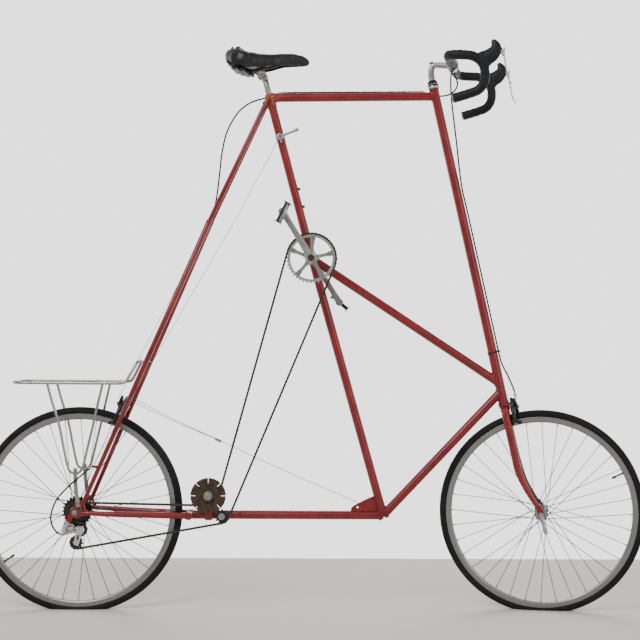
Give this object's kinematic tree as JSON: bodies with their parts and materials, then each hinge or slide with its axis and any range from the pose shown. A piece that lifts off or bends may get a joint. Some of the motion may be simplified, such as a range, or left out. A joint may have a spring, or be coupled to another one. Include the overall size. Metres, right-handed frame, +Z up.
{
  "type": "tall bicycle",
  "caption": "Single-rider tall bicycle: high saddle and drop bars on a stretched red steel frame, long chain over idler and tensioner, derailleur, rear rack.",
  "frame": {"origin": "on the ground, midway between the two axles and in the frame's middle plane", "axes": "+X forward, +Y to the rider's left, +Z up; the chain is on the -Y side"},
  "size_m": [2.1826, 0.4707, 1.8618],
  "materials": {
    "red_paint": "gloss brush-painted red, worn to orange at the seat cluster",
    "tyre_rubber": "matt black rubber with a fine tread",
    "hood_rubber": "matt black rubber",
    "bar_tape": "matt black wound tape",
    "rim_alloy": "satin, dulled",
    "steel": "satin, dulled",
    "alloy": "polished, dulled",
    "chrome": "polished",
    "black_metal": "semi-gloss black",
    "rusty_steel": "brown surface rust",
    "chain_steel": "oily dark steel",
    "saddle_cover": "black smooth cover, torn at the back",
    "saddle_foam": "brown exposed foam",
    "cable_black": "black housing"
  },
  "bodies": {
    "frame": {"head_tube": "red_paint", "top_tube": "red_paint", "seat_tube": "red_paint", "mid_tube": "red_paint", "down_tube": "red_paint", "bottom_tube": "red_paint", "gusset_plate": "red_paint", "chainstay_right": "red_paint", "chainstay_left": "red_paint", "seatstay_right": "red_paint", "seatstay_left": "red_paint", "headset_upper_cup": "steel", "headset_lower_cup": "steel", "bottom_bracket": "steel", "rear_axle": "steel", "rear_rack": "steel", "bracing_wire": "steel", "chain": "chain_steel", "shift_cable": "cable_black", "rear_brake_cable": "cable_black", "rear_brake_loop": "cable_black", "shifter_clamp": "alloy", "derailleur_body": "chrome"},
    "steering": {"fork": "red_paint", "stem": "alloy", "handlebar": "bar_tape", "brake_hood_right": "hood_rubber", "brake_hood_left": "hood_rubber", "front_brake_cable": "cable_black", "front_axle": "steel"},
    "front_wheel": {"front_tyre": "tyre_rubber", "front_rim": "rim_alloy", "front_spokes": "steel"},
    "rear_wheel": {"rear_tyre": "tyre_rubber", "rear_rim": "rim_alloy", "rear_spokes": "steel"},
    "freewheel": {"freewheel": "black_metal"},
    "crank": {"chainring": "alloy", "crank_right": "alloy", "crank_left": "alloy"},
    "pedal_right": {"pedal_right": "black_metal"},
    "pedal_left": {"pedal_left": "black_metal"},
    "idler": {"idler_sprocket": "rusty_steel"},
    "tensioner": {"tensioner_pulley": "black_metal"},
    "derailleur_link": {"derailleur_link": "chrome"},
    "derailleur_knuckle": {"derailleur_knuckle": "chrome"},
    "derailleur_cage": {"derailleur_cage": "steel"},
    "guide_pulley": {"guide_pulley": "black_metal"},
    "tension_pulley": {"tension_pulley": "black_metal"},
    "shift_lever": {"shift_lever": "alloy"},
    "seat": {"seatpost": "steel", "saddle": "saddle_cover", "saddle_rails": "black_metal"},
    "brake_lever_right": {"brake_lever_right": "alloy"},
    "brake_lever_left": {"brake_lever_left": "alloy"},
    "front_brake_arm_right": {"front_brake_arm_right": "black_metal"},
    "front_brake_arm_left": {"front_brake_arm_left": "black_metal"},
    "rear_brake_arm_right": {"rear_brake_arm_right": "black_metal"},
    "rear_brake_arm_left": {"rear_brake_arm_left": "black_metal"},
    "front_qr_lever": {"front_qr_lever": "alloy"}
  },
  "joints": [
    {"name": "steering", "type": "hinge", "parent": "frame", "child": "steering", "pos_m": [0.39435, 0, 1.7316], "axis": [-0.2226, 0, 0.9749], "range_deg": [-36.5, 53.5], "deforming": ["rear_brake_loop"]},
    {"name": "front_wheel_spin", "type": "hinge", "parent": "steering", "child": "front_wheel", "pos_m": [0.75679, -0.00637, 0.33589], "axis": [0.1441, 0.989, 0.0329], "continuous": true},
    {"name": "rear_wheel_spin", "type": "hinge", "parent": "frame", "child": "rear_wheel", "pos_m": [-0.75725, 0, 0.336], "axis": [0, 1, 0], "continuous": true},
    {"name": "crank_spin", "type": "hinge", "parent": "frame", "child": "crank", "pos_m": [-0.00425, 0, 1.164], "axis": [0, 1, 0], "continuous": true},
    {"name": "pedal_right_spin", "type": "hinge", "parent": "crank", "child": "pedal_right", "pos_m": [-0.09301, -0.115, 1.30605], "axis": [0, 1, 0], "continuous": true},
    {"name": "pedal_left_spin", "type": "hinge", "parent": "crank", "child": "pedal_left", "pos_m": [0.08451, 0.115, 1.02195], "axis": [0, 1, 0], "continuous": true},
    {"name": "freewheel_spin", "type": "hinge", "parent": "frame", "child": "freewheel", "pos_m": [-0.75725, -0.037, 0.336], "axis": [0, 1, 0], "continuous": true},
    {"name": "idler_spin", "type": "hinge", "parent": "frame", "child": "idler", "pos_m": [-0.33125, -0.047, 0.391], "axis": [0, 1, 0], "continuous": true},
    {"name": "tensioner_spin", "type": "hinge", "parent": "frame", "child": "tensioner", "pos_m": [-0.28725, -0.047, 0.324], "axis": [0, 1, 0], "continuous": true},
    {"name": "shift_lever", "type": "hinge", "parent": "frame", "child": "shift_lever", "pos_m": [-0.11219, -0.029, 1.563], "axis": [0, 1, 0], "range_deg": [-75, 0], "deforming": ["chain"]},
    {"name": "derailleur_link_swing", "type": "hinge", "parent": "frame", "child": "derailleur_link", "pos_m": [-0.78725, -0.06, 0.278], "axis": [0, 0.7071, 0.7071], "range_deg": [0, 42], "deforming": ["chain"]},
    {"name": "derailleur_shift", "type": "slide", "parent": "frame", "child": "derailleur_knuckle", "axis": [0, 0.7071, -0.7071], "range_m": [0, 0.0285], "deforming": ["chain"]},
    {"name": "derailleur_cage_pivot", "type": "hinge", "parent": "derailleur_knuckle", "child": "derailleur_cage", "pos_m": [-0.74325, -0.047, 0.28], "axis": [0, 1, 0], "range_deg": [-40, 35], "stiffness_Nm_per_rad": 0.3, "deforming": ["chain"]},
    {"name": "guide_pulley_spin", "type": "hinge", "parent": "derailleur_cage", "child": "guide_pulley", "pos_m": [-0.74325, -0.047, 0.28], "axis": [0, 1, 0], "continuous": true},
    {"name": "tension_pulley_spin", "type": "hinge", "parent": "derailleur_cage", "child": "tension_pulley", "pos_m": [-0.75425, -0.047, 0.238], "axis": [0, 1, 0], "continuous": true},
    {"name": "seatpost_slide", "type": "slide", "parent": "frame", "child": "seat", "axis": [-0.2611, 0, 0.9653], "range_m": [-0.02, 0.06]},
    {"name": "brake_lever_right", "type": "hinge", "parent": "steering", "child": "brake_lever_right", "pos_m": [0.59387, -0.24386, 1.80549], "axis": [0.1441, 0.989, 0.0329], "range_deg": [0, 25], "stiffness_Nm_per_rad": 0.5},
    {"name": "brake_lever_left", "type": "hinge", "parent": "steering", "child": "brake_lever_left", "pos_m": [0.65439, 0.17153, 1.81931], "axis": [0.1441, 0.989, 0.0329], "range_deg": [0, 25], "stiffness_Nm_per_rad": 0.5},
    {"name": "front_brake_right", "type": "hinge", "parent": "steering", "child": "front_brake_arm_right", "pos_m": [0.66127, -0.00384, 0.67823], "axis": [0.9642, -0.1478, 0.2202], "range_deg": [0, 2]},
    {"name": "front_brake_left", "type": "hinge", "parent": "steering", "child": "front_brake_arm_left", "pos_m": [0.6714, -0.00539, 0.68054], "axis": [0.9642, -0.1478, 0.2202], "range_deg": [-2, 0]},
    {"name": "rear_brake_right", "type": "hinge", "parent": "frame", "child": "rear_brake_arm_right", "pos_m": [-0.62074, 0, 0.67692], "axis": [-0.9192, 0, 0.3938], "range_deg": [-2, 0]},
    {"name": "rear_brake_left", "type": "hinge", "parent": "frame", "child": "rear_brake_arm_left", "pos_m": [-0.63039, 0, 0.68106], "axis": [-0.9192, 0, 0.3938], "range_deg": [0, 2]},
    {"name": "front_qr_lever", "type": "hinge", "parent": "steering", "child": "front_qr_lever", "pos_m": [0.74742, -0.07066, 0.33376], "axis": [-0.9463, 0.1474, -0.2876], "range_deg": [0, 170]}
  ],
  "couplings": [
    {"joint": "freewheel_spin", "follows": "crank_spin", "ratio": 2.6667},
    {"joint": "idler_spin", "follows": "crank_spin", "ratio": -2.5},
    {"joint": "tensioner_spin", "follows": "crank_spin", "ratio": 3.6364},
    {"joint": "guide_pulley_spin", "follows": "crank_spin", "ratio": -4},
    {"joint": "tension_pulley_spin", "follows": "crank_spin", "ratio": 4},
    {"joint": "derailleur_link_swing", "follows": "shift_lever", "ratio": -0.551},
    {"joint": "derailleur_shift", "follows": "shift_lever", "m_per_rad": -0.02139},
    {"joint": "front_brake_right", "follows": "brake_lever_left", "ratio": 0.075},
    {"joint": "front_brake_left", "follows": "brake_lever_left", "ratio": -0.075},
    {"joint": "rear_brake_right", "follows": "brake_lever_right", "ratio": -0.062},
    {"joint": "rear_brake_left", "follows": "brake_lever_right", "ratio": 0.062}
  ]
}
